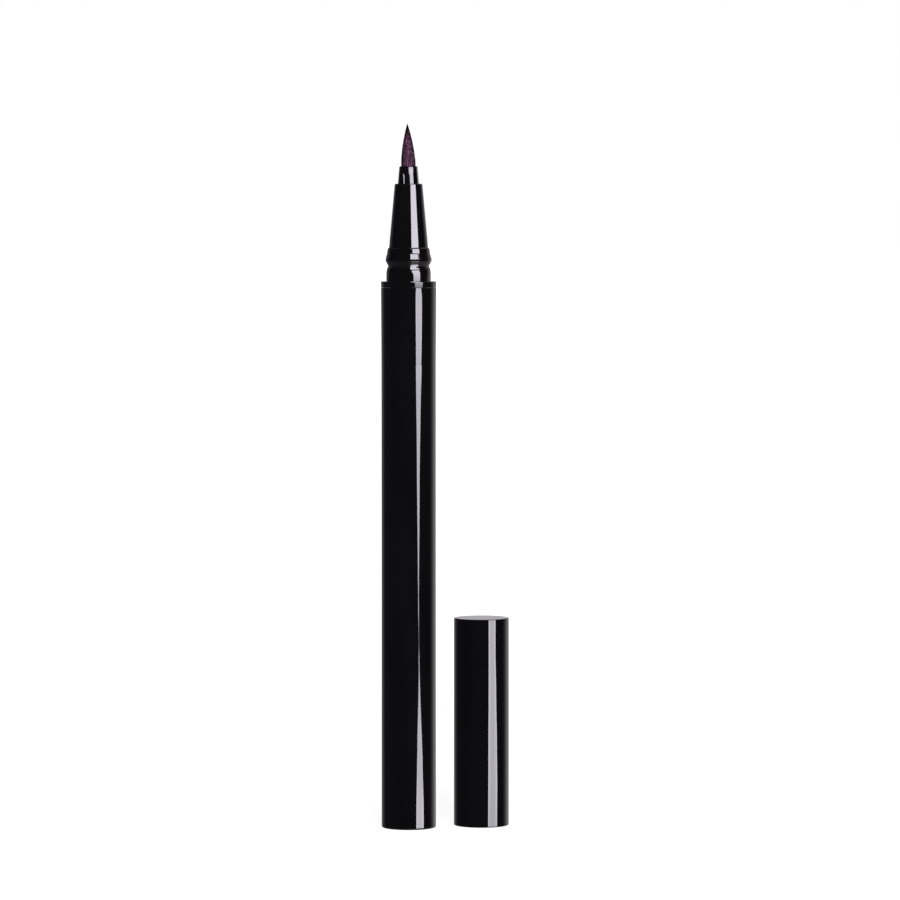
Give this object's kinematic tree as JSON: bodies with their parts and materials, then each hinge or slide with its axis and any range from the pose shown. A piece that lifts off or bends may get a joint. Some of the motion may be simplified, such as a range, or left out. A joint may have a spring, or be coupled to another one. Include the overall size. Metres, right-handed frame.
{
  "type": "liquid eyeliner pen",
  "caption": "Liquid eyeliner pen standing on its end with its tapered brush tip up, beside its cap with a sprung inner cap.",
  "frame": {"origin": "centre of the pen's foot, on the plane that pen and cap stand on", "axes": "+Z along the pen towards the tip of its brush; the cap stands beside the pen at +X and a little +Y"},
  "size_m": [0.0233, 0.0136, 0.1285],
  "materials": {
    "gloss_black": "polished moulded black",
    "inner_black": "as moulded black",
    "natural_plastic": "unpigmented, milky",
    "feed_fibre": "bonded fibre rod",
    "brush_plum": "fine tapered filaments, dark plum",
    "black_rubber": "moulded rubber",
    "soft_seal": "soft grey elastomer",
    "bright_steel": "bright stainless"
  },
  "bodies": {
    "pen": {"barrel": "gloss_black", "tail_plug": "inner_black", "tail_plug_o_ring": "black_rubber", "front_section": "gloss_black", "front_section_o_ring": "black_rubber", "collector": "natural_plastic", "feed_core": "feed_fibre", "feed_core_tube": "natural_plastic", "brush_nozzle": "gloss_black", "brush_root_collar": "natural_plastic", "brush_bristles": "brush_plum"},
    "cap": {"cap_shell": "gloss_black", "cap_retainer_ring": "inner_black", "inner_cap_spring": "bright_steel"},
    "inner_cap": {"inner_cap": "natural_plastic", "inner_cap_seal": "soft_seal"},
    "mixing_ball_1": {"mixing_ball_1": "bright_steel"},
    "mixing_ball_2": {"mixing_ball_2": "bright_steel"}
  },
  "joints": [
    {"name": "cap_lift", "type": "slide", "parent": "pen", "child": "cap", "axis": [0, 0, 1], "range_m": [0, 0.13]},
    {"name": "inner_cap_press", "type": "slide", "parent": "cap", "child": "inner_cap", "axis": [0, 0, 1], "range_m": [0, 0.0015], "stiffness_N_per_m": 300, "springref_m": -0.002, "deforming": ["inner_cap_spring"]},
    {"name": "mixing_ball_1_slide", "type": "slide", "parent": "pen", "child": "mixing_ball_1", "axis": [0, 0, 1], "range_m": [0, 0.0644]},
    {"name": "mixing_ball_2_slide", "type": "slide", "parent": "pen", "child": "mixing_ball_2", "axis": [0, 0, 1], "range_m": [0, 0.0644]}
  ],
  "couplings": [
    {"joint": "mixing_ball_2_slide", "follows": "mixing_ball_1_slide", "ratio": 1}
  ]
}
